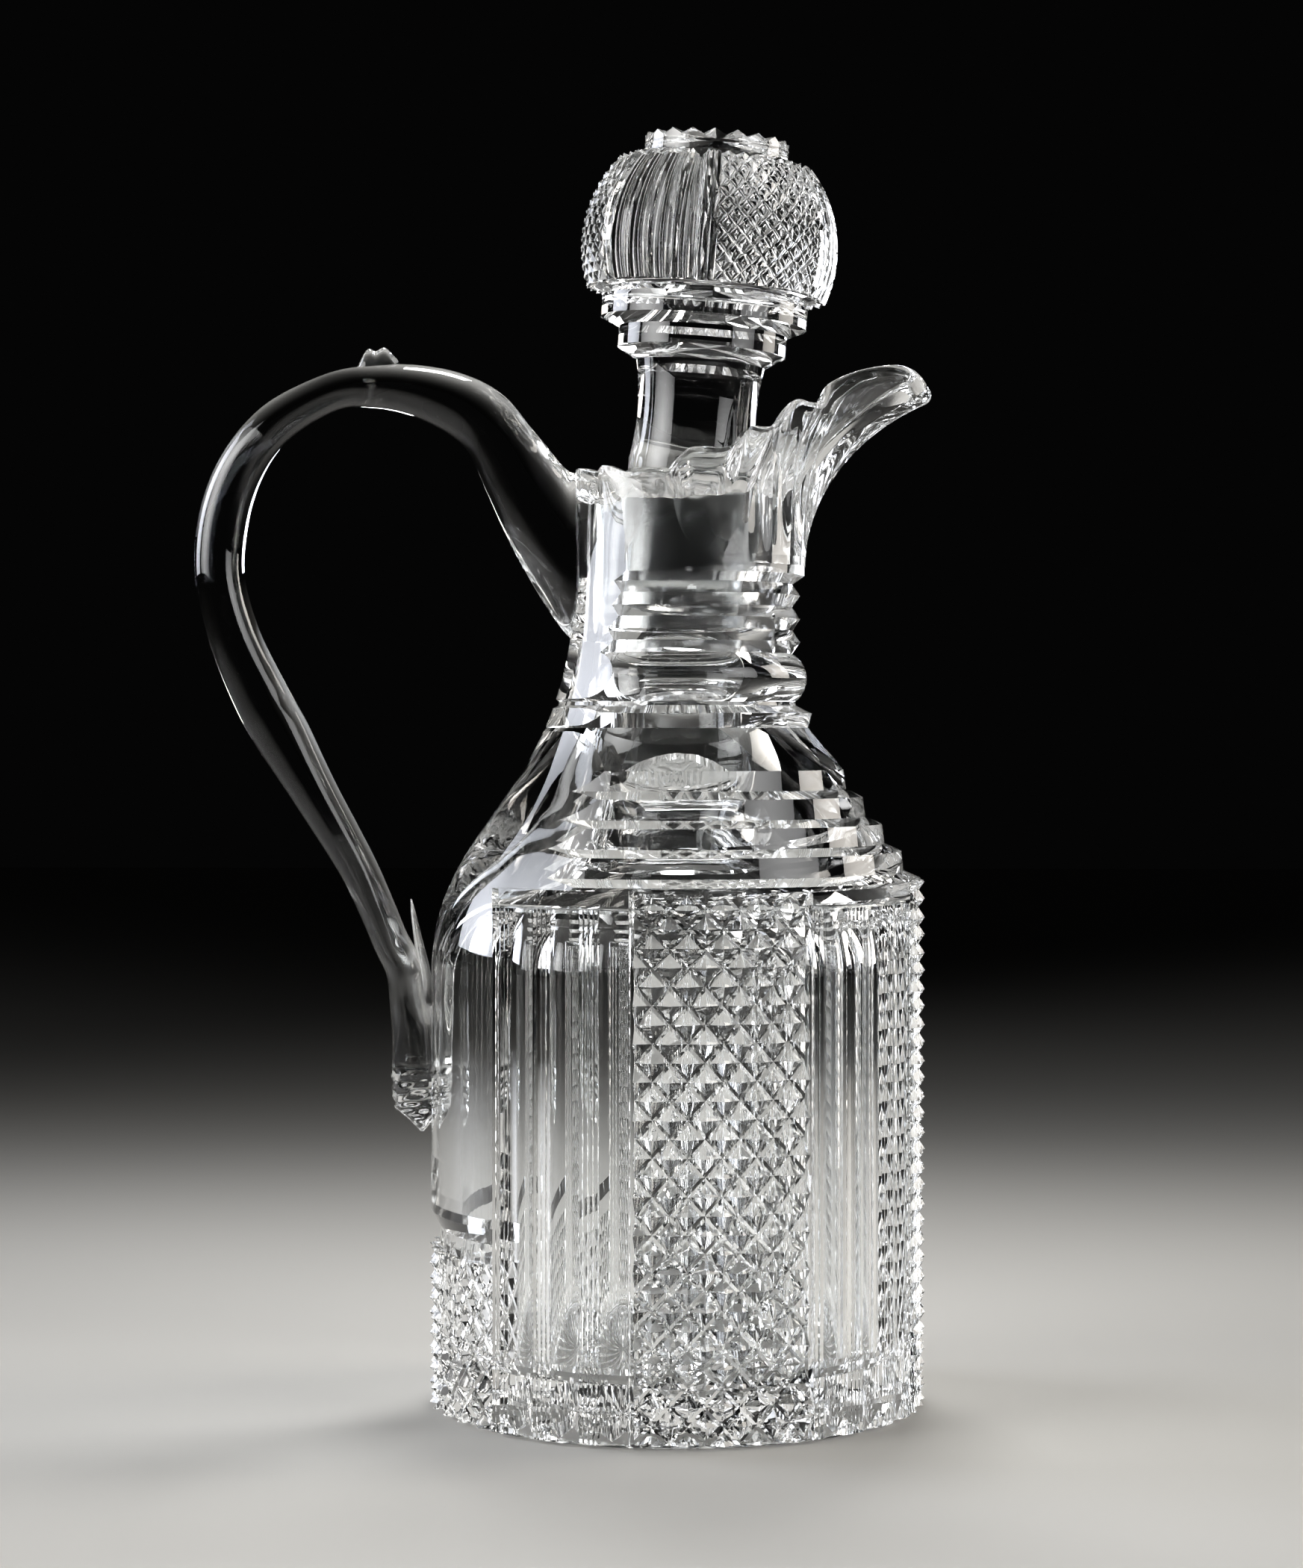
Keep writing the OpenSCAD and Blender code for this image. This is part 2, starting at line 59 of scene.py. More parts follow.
# %% Sizes of the body, in millimetres
BODY_R = 56.65        # over the points of the diamonds
CORE_R = 54.3         # the glass just under the deepest of these cuts
BLANK_R = 56.3        # where the body is ground smooth, at the back
BODY_H = 119.9        # the straight side, from the table to the first step
FOOT_H = 0.8          # plain edge that the jug stands on
BASE_T = 12.0         # glass under the cavity
WALL_R = 49.6         # inside of the wall
STEPS = 4             # level steps of the shoulder
STEP_H = 6.2          # rise from one step to the next
STEP_RUN = 4.4        # how far each step stands back from the one below it
SHOULDER_R = 55.7     # edge of the lowest step
print("body", 2 * BODY_R, "mm across and", BODY_H, "mm up to its first step")

# %% Sizes of the neck, in millimetres
NECK_R = 28.2         # over the points of its rings
GROOVE_R = 26.4       # in the grooves between them
PLAIN_R = 29.2        # plain band over the rings
BACK_R = 23.5         # where the neck is ground smooth, at the back
BORE_R = 15.0         # inside of the neck
RINGS = 3
RING_H = 5.3
BEAD_H = 11.4         # the rounded bead under the rings
Z_CONE = BODY_H + STEPS * STEP_H
Z_COLLAR = Z_CONE + 9.5
Z_BEAD = Z_COLLAR + 5.5
Z_RINGS = Z_BEAD + BEAD_H
Z_PLAIN = Z_RINGS + RINGS * RING_H
Z_BOWL = Z_PLAIN + 6  # here the turned neck ends, and the rim and spout begin
Z_RIM = Z_PLAIN + 26
print("neck from", round(Z_COLLAR, 2), "to the rim at", round(Z_RIM, 2), "mm")

# %% Sizes of the stopper and its socket, in millimetres
LEAN = math.radians(4.3)      # the stopper leans a little towards the spout
PLUG_R = 16.0                 # ground plug, at its top
PLUG_TIP_R = 14.0             # and at its tip
PLUG_L = 38.0
GAP = 0.15                    # between the plug and its socket
CLEAR = 4.2                   # polished top of the cones, above their ground part
Z_PIVOT = Z_BEAD + 7          # where the leaning axis crosses the jug's own
MOUTH = (Z_RIM - 1 - Z_PIVOT) / math.cos(LEAN)
SHANK_H = 28.3
DISC_H = 6.6
BALL_R = 29.5
BALL_H = 32.0
BALL_LOW = 11.2               # from the ball's lower face up to its widest line
print("the socket's mouth is", round(MOUTH, 2), "mm along the leaning axis from its pivot")

# %% [markdown]
# ## Camera
# The photograph has upright verticals, so the camera was level. The base is seen as a narrow
# ellipse and the neck's rings as straight lines, so it stood about as high as the neck. A level
# camera with a little shift keeps the verticals upright, as a view camera does.

# %% Camera at the photograph's angle
IMAGE = (1745, 2100)              # the photograph's frame, in pixels
MM_PER_PX = 0.1713                # size of a pixel at the jug's own axis
FOCAL_PX = 4600                   # focal length, in pixels
AXIS_PX = 907                     # column of the jug's axis
HORIZON_PX = 976                  # row of the eye level
TABLE_PX = 1875                   # row of the table under the jug's axis
SENSOR = 36.0                     # width of the camera's sensor, in millimetres
BEARING = math.radians(-87.8)     # where the camera stands, round from the spout

camera_data = bpy.data.cameras.new("photo_camera")
camera = bpy.data.objects.new("photo_camera", camera_data)
scene.collection.objects.link(camera)
scene.camera = camera
camera_data.sensor_width = SENSOR
camera_data.lens = FOCAL_PX / max(IMAGE) * SENSOR
camera_data.shift_x = -(AXIS_PX - IMAGE[0] / 2) / max(IMAGE)
camera_data.shift_y = -(IMAGE[1] / 2 - HORIZON_PX) / max(IMAGE)
distance = FOCAL_PX * MM_PER_PX / 1000
eye = (TABLE_PX - HORIZON_PX) * MM_PER_PX / 1000
camera.location = (distance * math.cos(BEARING), distance * math.sin(BEARING), eye)
camera.rotation_euler = (math.pi / 2, 0, BEARING + math.pi / 2)
print("camera", round(distance, 3), "m away,", round(eye, 3), "m up")

# %% [markdown]
# ## Colours and nodes
# Colours are written as the hex values that a paint program shows, and turned to linear light.
# One small function adds a node, sets its inputs and links them.


# %% Colour and node helpers
def linear(hex_colour):
    """An sRGB hex colour as linear red, green, blue and alpha."""
    parts = [int(hex_colour[i:i + 2], 16) / 255 for i in (1, 3, 5)]
    return [p / 12.92 if p <= 0.04045 else ((p + 0.055) / 1.055) ** 2.4 for p in parts] + [1.0]


def add_node(tree, kind, settings=None, **inputs):
    """Adds a node. An input is a value, or the output socket that it is linked to."""
    node = tree.nodes.new(kind)
    for key, value in (settings or {}).items():
        setattr(node, key, value)
    for key, value in inputs.items():
        socket = node.inputs[key.replace("_", " ")]
        if isinstance(value, bpy.types.NodeSocket):
            tree.links.new(value, socket)
        else:
            socket.default_value = value
    return node


print("white is", linear("#ffffff"))

# %% [markdown]
# ## Glass
# Lead crystal is polished glass with a high index of refraction, 1.54 to 1.58, so that its facets
# send light back to the eye. It is nearly colourless. The cut facets are acid polished, which
# leaves them glossy but faintly uneven: a very shallow bump of a few millimetres' width does that.
# The handle was only polished by the fire, so it swells and sinks over a greater width.
# The ground plug of a stopper is rubbed with emery and stays finely matt. The real grain is about a
# tenth of a millimetre, too fine to show here, so it is drawn coarser, at 0.6 mm.

# %% Materials
CRYSTAL_IOR = 1.55
SMEAR_MM = 18.0       # width of the patches where the polish is a little duller
SMEAR_ROUGH = 0.03    # roughness that such a patch adds at most


def crystal(name, tint, grain_mm, unevenness_mm, haze):
    """Polished lead crystal. grain_mm is the width of its unevenness, haze its least roughness."""
    material = bpy.data.materials.new(name)
    material.use_nodes = True
    tree = material.node_tree
    shader = tree.nodes["Principled BSDF"]
    shader.inputs["Base Color"].default_value = linear(tint)
    shader.inputs["Transmission Weight"].default_value = 1.0
    shader.inputs["IOR"].default_value = CRYSTAL_IOR
    place = add_node(tree, "ShaderNodeTexCoord")
    waves = add_node(tree, "ShaderNodeTexNoise", Vector=place.outputs["Object"],
                     Scale=1000 / grain_mm, Detail=1.5, Roughness=0.4)
    bump = add_node(tree, "ShaderNodeBump", Height=waves.outputs["Fac"],
                    Strength=1.0, Distance=unevenness_mm / 1000)
    smears = add_node(tree, "ShaderNodeTexNoise", Vector=place.outputs["Object"],
                      Scale=1000 / SMEAR_MM, Detail=3.0, Roughness=0.6)
    rough = add_node(tree, "ShaderNodeMapRange", Value=smears.outputs["Fac"],
                     From_Min=0.35, From_Max=0.75, To_Min=haze, To_Max=haze + SMEAR_ROUGH)
    tree.links.new(bump.outputs["Normal"], shader.inputs["Normal"])
    tree.links.new(rough.outputs["Result"], shader.inputs["Roughness"])
    return material


cut_crystal = crystal("cut_crystal", "#fcfdfd", 6.0, 0.012, 0.0)
drawn_crystal = crystal("drawn_crystal", "#fcfdfd", 22.0, 0.05, 0.0)
ground_crystal = crystal("ground_crystal", "#f8fafa", 0.6, 0.01, 0.1)
print("materials:", [m.name for m in bpy.data.materials])

# %% [markdown]
# ## Building solids
# Every solid is a closed skin, because light bends as it enters and as it leaves, and a hole in
# the skin would leave it bent. Turned shapes are spun from an outline, and swept shapes are
# skinned over rings. Solids are joined and cut with boolean modifiers, which work like the
# cutter's wheel.


# %% Solids from outlines and rings
def new_piece(name, mesh):
    """Puts a mesh in the scene as an object."""
    piece = bpy.data.objects.new(name, mesh)
    scene.collection.objects.link(piece)
    return piece


def solid(name, verts, faces):
    """A closed solid with its faces turned outwards."""
    mesh = bpy.data.meshes.new(name)
    mesh.from_pydata([tuple(v) for v in verts], [], faces)
    skin = bmesh.new()
    skin.from_mesh(mesh)
    bmesh.ops.remove_doubles(skin, verts=skin.verts, dist=1e-4)
    bmesh.ops.recalc_face_normals(skin, faces=skin.faces)
    skin.to_mesh(mesh)
    skin.free()
    return new_piece(name, mesh)


def spun(name, outline, start=0.0, stop=360.0, steps=180):
    """Turns a closed outline of (radius, height) round the upright axis, between two angles."""
    whole = stop - start >= 360
    turns = steps if whole else steps + 1
    n = len(outline)
    verts = []
    for k in range(turns):
        a = math.radians(start + (stop - start) * k / steps)
        verts += [(r * math.cos(a), r * math.sin(a), z) for r, z in outline]
    faces = []
    for k in range(steps):
        here = k * n
        there = (k + 1) % turns * n
        faces += [(here + i, there + i, there + (i + 1) % n, here + (i + 1) % n) for i in range(n)]
    if not whole:
        faces += [tuple(range(n)), tuple(range(steps * n, steps * n + n))]
    return solid(name, verts, faces)


def skinned(name, rings):
    """A closed skin over rings of points that all have the same count."""
    n = len(rings[0])
    m = len(rings)
    faces = [(i * n + j, i * n + (j + 1) % n, (i + 1) * n + (j + 1) % n, (i + 1) * n + j)
             for i in range(m - 1) for j in range(n)]
    faces += [tuple(range(n)), tuple(range((m - 1) * n, m * n))]
    return solid(name, [p for ring in rings for p in ring], faces)


print("solids can be spun or skinned")


# %% Joining and cutting
def combine(target, tools, how):
    """Joins tools to target, cuts them away, or keeps what they share. The tools are used up."""
    for tool in tools:
        step = target.modifiers.new(how, "BOOLEAN")
        step.object = tool
        step.operation = how
        step.solver = "MANIFOLD"
    shape = target.evaluated_get(bpy.context.evaluated_depsgraph_get())
    mesh = bpy.data.meshes.new_from_object(shape)
    target.modifiers.clear()
    target.data = mesh
    for tool in tools:
        bpy.data.objects.remove(tool)
    return target


print("solids can be joined, cut, or cut down to what they share")


# %% Curves
def lerp(a, b, t):
    """The number that lies a share t of the way from a to b."""
    return a + (b - a) * t


def smooth_path(points, k):
    """A smooth curve through rows of numbers, with k steps from each row to the next."""
    out = []
    last = len(points) - 1
    for i in range(last):
        rows = (points[max(i - 1, 0)], points[i], points[i + 1], points[min(i + 2, last)])
        for j in range(k):
            t = j / k
            out.append([0.5 * (2 * q + (r - p) * t + (2 * p - 5 * q + 4 * r - s) * t * t
                               + (3 * q - p - 3 * r + s) * t ** 3) for p, q, r, s in zip(*rows)])
    return out + [list(points[last])]


print("halfway from 2 to 6 is", lerp(2, 6, 0.5))

# %% [markdown]
# ## Diamonds
# A panel of raised diamonds is two sets of slanting mitre cuts. What is left between them is rows
# of four-sided points, with a narrow flatter line along the bottom of each cut. The pattern is
# laid out flat, trimmed to the panel, given a back, and then bent round the glass.


# %% A flat sheet of diamonds
def diamond_sheet(width, height, across, up, relief, line):
    """across and up count half diamonds; line is the width of the flatter bottom of a cut."""
    a = width / across
    b = height / up
    inner = 1 - line / 2 / (a * b / math.hypot(a, b))     # what the line leaves of a diamond
    lip = 0.1 * relief                                    # height of the diamond's own foot
    sheet = bmesh.new()
    found = {}

    def vert(u, v, h):
        key = (round(u, 4), round(v, 4), round(h, 4))
        if key not in found:
            found[key] = sheet.verts.new((u, v, h))
        return found[key]

    corners = [(a, 0), (0, b), (-a, 0), (0, -b)]
    for i in range(across + 1):
        for j in range(up + 1):
            if (i + j) % 2:
                u = i * a - width / 2
                v = j * b
                top = vert(u, v, relief)
                low = [vert(u + p, v + q, 0) for p, q in corners]
                high = [vert(u + p * inner, v + q * inner, lip) for p, q in corners]
                for k in range(4):
                    sheet.faces.new((top, high[k], high[(k + 1) % 4]))
                    sheet.faces.new((high[k], low[k], low[(k + 1) % 4], high[(k + 1) % 4]))
    # The diamonds that stand over the sheet's four edges are cut off along them.
    edges = ((-width / 2, 0, -1, 0), (width / 2, 0, 1, 0), (0, 0, 0, -1), (0, height, 0, 1))
    for x, y, nx, ny in edges:
        everything = list(sheet.verts) + list(sheet.edges) + list(sheet.faces)
        bmesh.ops.bisect_plane(sheet, geom=everything, dist=1e-5, plane_co=(x, y, 0),
                               plane_no=(nx, ny, 0), clear_outer=True)
    return sheet


print("diamonds can be laid out flat")


# %% Giving a sheet its back, and bending it
def backed(sheet, depth, spread):
    """Closes a sheet with a back that is spread wider than its front, as a mitre cut leaves it."""
    front = list(sheet.faces)
    rim = [e for e in sheet.edges if e.is_boundary]
    behind = {v: sheet.verts.new((v.co.x * spread, v.co.y, -depth)) for v in list(sheet.verts)}
    for face in front:
        sheet.faces.new([behind[v] for v in reversed(face.verts)])
    for edge in rim:
        p, q = edge.verts
        sheet.faces.new((p, q, behind[q], behind[p]))
    return sheet


def bent(name, sheet, place):
    """Bends a backed sheet: place turns its (across, up, relief) into a point."""
    for v in sheet.verts:
        v.co = Vector(place(*v.co))
    bmesh.ops.recalc_face_normals(sheet, faces=sheet.faces)
    mesh = bpy.data.meshes.new(name)
    sheet.to_mesh(mesh)
    sheet.free()
    return new_piece(name, mesh)


print("sheets can be backed and bent round the glass")

# %% Diamond panels of the body
RELIEF = 2.25         # height of a point over its cuts
DIAMOND_W = 8.0       # width of a diamond over its corners
DIAMOND_H = 8.3       # and its height
LINE = 1.5            # width of the flatter bottom of a cut
PANEL_BACK = 1.4      # how far a panel reaches into the core
PANEL_FLARE = 1.6     # how much wider it is there
Z_TOP = BODY_H - 0.6  # top of the cut panels


def body_diamonds(middle, degrees, top):
    """A panel from the foot to top, round from the spout by the angle middle."""
    width = math.radians(degrees) * BODY_R
    height = top - FOOT_H
    across = 2 * round(width / DIAMOND_W)
    up = round(2 * height / DIAMOND_H)
    sheet = diamond_sheet(width, height, across, up, RELIEF, LINE)
    sheet = backed(sheet, PANEL_BACK, 1 + PANEL_FLARE / width)

    def place(u, v, h):
        a = math.radians(middle) + u / BODY_R
        r = BODY_R - RELIEF + h
        return r * math.cos(a), r * math.sin(a), FOOT_H + v

    return bent("diamonds", sheet, place)


# One panel is under the spout and one on each side. A low, wide band is under the handle.
SIDE = 77.5
PANEL_DEG = 40
BAND_DEG = 91
BAND_TOP = 36.5
diamonds = [body_diamonds(middle, PANEL_DEG, Z_TOP) for middle in (0, SIDE, -SIDE)]
diamonds.append(body_diamonds(180, BAND_DEG, BAND_TOP))
print("diamond panels:", len(diamonds))

# %% [markdown]
# ## Flutes
# Between the diamonds stand panels of three hollow flutes. The ridges between them are not plain:
# each carries a few fine upright mitre cuts. The outline of a panel is drawn from above and raised
# to the height of the panel; the flutes stop short of the top, where a plain band is left.

# %% Outline of a panel of flutes, seen from above
HOLLOW_STEPS = 16     # flat strips that round off a hollow
LAND = 0.12           # share of a fine line's room that stays plain on either side of it


def flute_front(left, right, middles, broad, deep, line_deg, line_deep):
    """Depth by angle across a panel: hollow flutes, with fine lines on what lies between them."""
    front = []
    a = left
    for middle in middles + [None]:
        stop = right if middle is None else middle - broad / 2
        lines = max(1, round((stop - a) / line_deg))
        for k in range(lines):
            front += [(lerp(a, stop, (k + LAND) / lines), 0),
                      (lerp(a, stop, (k + 0.5) / lines), line_deep),
                      (lerp(a, stop, (k + 1 - LAND) / lines), 0)]
        if middle is not None:
            for k in range(HOLLOW_STEPS + 1):
                t = 2 * k / HOLLOW_STEPS - 1
                front.append((middle + t * broad / 2, deep * (1 - t * t)))
            a = middle + broad / 2
    return front


print("points across one flute:", len(flute_front(-4, 4, [0], 6, 1, 1, 0.5)))

# %% Flute panels of the body
FLUTE_DEG = 6.8       # breadth of a hollow flute, in degrees round the body
FLUTE_PITCH = 11.6    # from the middle of one flute to the next
FLUTE_DEPTH = 1.25
LINE_DEG = 1.2        # room of one fine line
LINE_DEPTH = 0.45
SLAB_BACK = 1.5       # how far a panel reaches into the core
FLUSH = 0.1           # the ridges lie this far under the points of the diamonds
PLAIN_FLUSH = 0.15    # and the plain band this far
PLAIN_H = 4.8         # from the lower edge of the plain band to the first step
OVERLAP = 0.2         # how far the flutes run on inside that band


def raised(name, front, z0, z1):
    """Stands a slab of glass up from its front, seen from above."""
    points = front + [(a, CORE_R - SLAB_BACK) for a, _ in reversed(front)]
    flat = [(r * math.cos(math.radians(a)), r * math.sin(math.radians(a))) for a, r in points]
    return skinned(name, [[(x, y, z) for x, y in flat] for z in (z0, z1)])


def body_flutes(left, right, middle):
    """Three flutes between two angles, with the plain band over them."""
    middles = [middle + FLUTE_PITCH * k for k in (-1, 0, 1)]
    cuts = flute_front(left, right, middles, FLUTE_DEG, FLUTE_DEPTH, LINE_DEG, LINE_DEPTH)
    front = [(a, BODY_R - FLUSH - deep) for a, deep in cuts]
    low = raised("flutes", front, FOOT_H, BODY_H - PLAIN_H + OVERLAP)
    plain = [(lerp(left, right, k / 24), BODY_R - PLAIN_FLUSH) for k in range(25)]
    return [low, raised("band", plain, BODY_H - PLAIN_H, Z_TOP)]


# The left edge, right edge and middle flute of the panels on one side, round from the spout.
FLUTE_PANELS = ((21, 56.6, 38.75), (98.4, 133.4, 113.1))
flutes = []
for side in (1, -1):
    for left, right, middle in FLUTE_PANELS:
        ends = sorted((side * left, side * right))
        flutes += body_flutes(*ends, side * middle)
print("flute panels:", len(flutes) // 2)

# %% [markdown]
# ## Steps, neck and the plain strip
# The shoulder is cut into level steps, then a cone, a pointed collar, a rounded bead and three
# pointed rings. All of them were cut right round a thicker blank and then ground away at the back,
# to make the smooth strip where the handle sits. Where that strip cuts across the steps, they run
# out in long points. So the stepped shape is turned whole, and what it shares with a second solid,
# the ground blank, is kept.

# %% Outline of the steps, cone, collar, bead and rings
TREAD_RISE = 1.7      # a step's tread rises a little towards the neck
RISER_LEAN = 0.6      # and its riser leans in as it goes up
COLLAR_OUT = 2.7      # how far the collar's point stands out over the rings'
BEAD_OUT = 3.3        # how far the bead stands out of the grooves
BEAD_ARC = 60         # half the arc that rounds the bead, in degrees

stepped = [(0, BODY_H - 9.2), (SHOULDER_R - 8, BODY_H - 9.2), (SHOULDER_R, BODY_H - 1.2)]
for i in range(STEPS):
    r = SHOULDER_R - i * STEP_RUN
    z = BODY_H + i * STEP_H
    stepped += [(r, z), (r - STEP_RUN + RISER_LEAN, z + TREAD_RISE)]
stepped += [(SHOULDER_R - STEPS * STEP_RUN, Z_CONE), (NECK_R + 1.8, Z_COLLAR)]
stepped += [(NECK_R + COLLAR_OUT, Z_COLLAR + 3.3)]
for a in range(-BEAD_ARC, BEAD_ARC + 1, 8):
    c = math.cos(math.radians(a))
    s = math.sin(math.radians(a)) / math.sin(math.radians(BEAD_ARC))
    stepped.append((GROOVE_R + BEAD_OUT * (c - 0.5) / 0.5, Z_BEAD + BEAD_H * (0.5 + 0.5 * s)))
for i in range(RINGS):
    stepped += [(NECK_R, Z_RINGS + (i + 0.5) * RING_H), (GROOVE_R, Z_RINGS + (i + 1) * RING_H)]
stepped += [(PLAIN_R, Z_PLAIN + 2), (PLAIN_R, Z_BOWL), (0, Z_BOWL)]
print("points on the stepped outline:", len(stepped))


# %% Outline of the ground blank
def s_curve(r0, z0, r1, z1, n):
    """Points along a curve that leaves and arrives upright."""
    za = z0 + 0.39 * (z1 - z0)
    zb = z1 - 0.58 * (z1 - z0)
    out = []
    for i in range(n + 1):
        t = i / n
        u = 1 - t
        out.append((r0 * (u ** 3 + 3 * u * u * t) + r1 * (3 * u * t * t + t ** 3),
                    z0 * u ** 3 + 3 * za * u * u * t + 3 * zb * u * t * t + z1 * t ** 3))
    return out


STRIP_LOW = 46        # half the angle of the ground strip on the shoulder, in degrees
STRIP_HIGH = 33       # and on the neck
Z_NARROWS = 140       # here the strip starts to narrow
NARROWING = 35        # and over this height it does so
FLAT_DEG = 70         # how far round the flat cuts beside the strip reach

blank = s_curve(BLANK_R, BODY_H - 21.4, BACK_R, Z_PLAIN + 3, 48)


def strip_half(z):
    """Half the angle of the ground strip at a height: it narrows up the neck."""
    t = min(1, max(0, (z - Z_NARROWS) / NARROWING))
    return lerp(STRIP_LOW, STRIP_HIGH, t * t * (3 - 2 * t))


def ground(r, z, a):
    """Radius of the ground blank at an angle from the spout: a round back with flat cuts beside it."""
    off = 180 - abs((a + 180) % 360 - 180)
    beside = min(FLAT_DEG, max(0, off - strip_half(z)))
    return min(r / math.cos(math.radians(beside)), BODY_R + 6)


print("half strip, low and high:", strip_half(BODY_H), strip_half(Z_RIM))


# %% Shoulder and neck
def ring_at(r, z, n=240):
    """A level ring round the ground blank."""
    ring = []
    for a in (2 * math.pi * k / n for k in range(n)):
        g = ground(r, z, math.degrees(a))
        ring.append((g * math.cos(a), g * math.sin(a), z))
    return ring


# The back of the body, between its last flutes, is plain glass that the strip is ground from.
STRIP_R = BLANK_R + 0.1
BACK_ENDS = (133.4, 226.6)
back_strip = [(BACK_R - 3, 40), (CORE_R - 0.5, 40), (STRIP_R, 45)]
back_strip += [(STRIP_R, BODY_H - 1), (BACK_R - 3, BODY_H - 1)]
shoulder = spun("shoulder", stepped, steps=240)
shoulder = combine(shoulder, [spun("back_strip", back_strip, *BACK_ENDS, 60)], "UNION")
levels = [(BLANK_R, 38)] + blank + [(BACK_R, Z_BOWL + 1)]
envelope = skinned("envelope", [ring_at(r, z) for r, z in levels])
shoulder = combine(shoulder, [envelope], "INTERSECT")
print("shoulder faces:", len(shoulder.data.polygons))

# %% [markdown]
# ## Rim and spout
# The rim is cut in scallops. At the front it is drawn out and pinched into a long spout whose
# underside carries a fan of hollow flutes. Its skin runs from the neck up the outside, over the
# rounded edge, and down inside to the socket.

# %% Crest of the rim, over half of the mouth
TIP = 58.2            # reach of the spout from the jug's axis
WIDE = 19.0           # breadth of the spout; the rows give its half
RISE = 24.8           # the height over the rim that a row's last number is a share of

# A row is a point of the crest: along towards the spout, aside, and up.
half_rim = [
    (TIP, 0, 0.79), (TIP - 2, 0.29 * WIDE, 0.87), (TIP - 4.4, 0.38 * WIDE, 0.93),
    (TIP - 7.9, 0.44 * WIDE, 0.945), (TIP - 13.4, 0.48 * WIDE, 0.91), (TIP - 17.1, 0.5 * WIDE, 0.865),
    (TIP - 20.7, 0.54 * WIDE, 0.8), (TIP - 22.6, 0.58 * WIDE, 0.73), (TIP - 24.4, 0.65 * WIDE, 0.6),
    (1.117 * NECK_R, 0.475 * NECK_R, 0.59), (1.018 * NECK_R, 0.532 * NECK_R, 0.61),
    (0.922 * NECK_R, 0.61 * NECK_R, 0.515), (0.835 * NECK_R, 0.68 * NECK_R, 0.37),
    (0.759 * NECK_R, 0.727 * NECK_R, 0.345), (0.642 * NECK_R, 0.798 * NECK_R, 0.365),
    (0.578 * NECK_R, 0.826 * NECK_R, 0.29), (0.457 * NECK_R, 0.887 * NECK_R, 0.165),
    (0.241 * NECK_R, 0.93 * NECK_R, 0.155), (0.13 * NECK_R, 0.945 * NECK_R, 0.135),
    (0.02 * NECK_R, 0.95 * NECK_R, 0.03), (-0.06 * NECK_R, 0.95 * NECK_R, -0.065),
    (-0.2 * NECK_R, 0.92 * NECK_R, -0.035), (-0.376 * NECK_R, 0.86 * NECK_R, -0.07),
    (-0.56 * NECK_R, 0.74 * NECK_R, 0.0), (-0.76 * BACK_R, 0.55 * NECK_R, -0.04),
    (-0.95 * BACK_R, 0.28 * NECK_R, 0.01), (-BACK_R, 0, 0),
]
near = smooth_path([(x, y, Z_RIM + h * RISE) for x, y, h in half_rim], 6)
crest = near + [(x, -y, z) for x, y, z in reversed(near[1:-1])]
print("points round the rim:", len(crest))

# %% Rounded edge of the rim
LIP_T = 2.6           # thickness of the edge
TIP_T = 2.0           # how much heavier it is at the tip of the spout
UNDER_DEG = 62        # how far the edge rolls under, at the tip
Z_MOUTH = Z_RIM - 9   # where the inside of the rim meets the socket
X_MOUTH = (Z_MOUTH - Z_PIVOT) * math.tan(LEAN)


def off_spout(x, y):
    """Angle from the spout, in degrees."""
    return abs(math.degrees(math.atan2(y, x)))


def lip_width(x, y):
    """Thickness of the edge: heavy and round at the tip of the spout, thinner elsewhere."""
    return LIP_T + TIP_T * math.exp(-(off_spout(x, y) / 9) ** 2)


def inset(x, y, z, step, drop):
    """Moves a point of the crest towards the mouth and down."""
    s = 1 - step / math.hypot(x - X_MOUTH, y)
    return X_MOUTH + (x - X_MOUTH) * s, y * s, z - drop


def lip(share):
    """A ring of the edge: 0 is its outermost line, 1 its crest and 2 its inner side.

    It is round at the tip of the spout, also underneath (-1), and cut square elsewhere.
    """
    ring = []
    for x, y, z in crest:
        half = lip_width(x, y) / 2
        square = min(1, max(0, (off_spout(x, y) - 25) / 30))
        under = UNDER_DEG * math.exp(-(off_spout(x, y) / 12) ** 2)
        turn = math.radians(90 * share if share > 0 else under * share)
        c = math.cos(turn)
        s = math.sin(turn)
        power = lerp(1, 0.3, square)
        over = half * (1 - math.copysign(abs(c) ** power, c))
        ring.append(inset(x, y, z, over, half * (1 - math.copysign(abs(s) ** power, s))))
    return ring


print("edge of the rim:", lip_width(TIP, 0), "mm at the spout,", lip_width(-BACK_R, 0), "at the back")

# %% Outside and inside of the rim
FAN_DEPTH = 1.1       # of the hollow flutes under the spout
FAN_SPREAD = 1.2      # the fan dies out at 90 degrees over this, to either side of the spout
FAN_LINES = 13        # a flute is 180 degrees over this broad


def fan(a, t):
    """Depth of the fan of flutes under the spout, at an angle and a share of the way up."""
    aside = max(0, math.cos(math.radians(min(90, abs(a) * FAN_SPREAD)))) ** 0.5
    upward = math.sin(math.pi * min(1, t * 1.15)) ** 0.7
    return FAN_DEPTH * aside * upward * abs(math.sin(math.radians(a * FAN_LINES)))


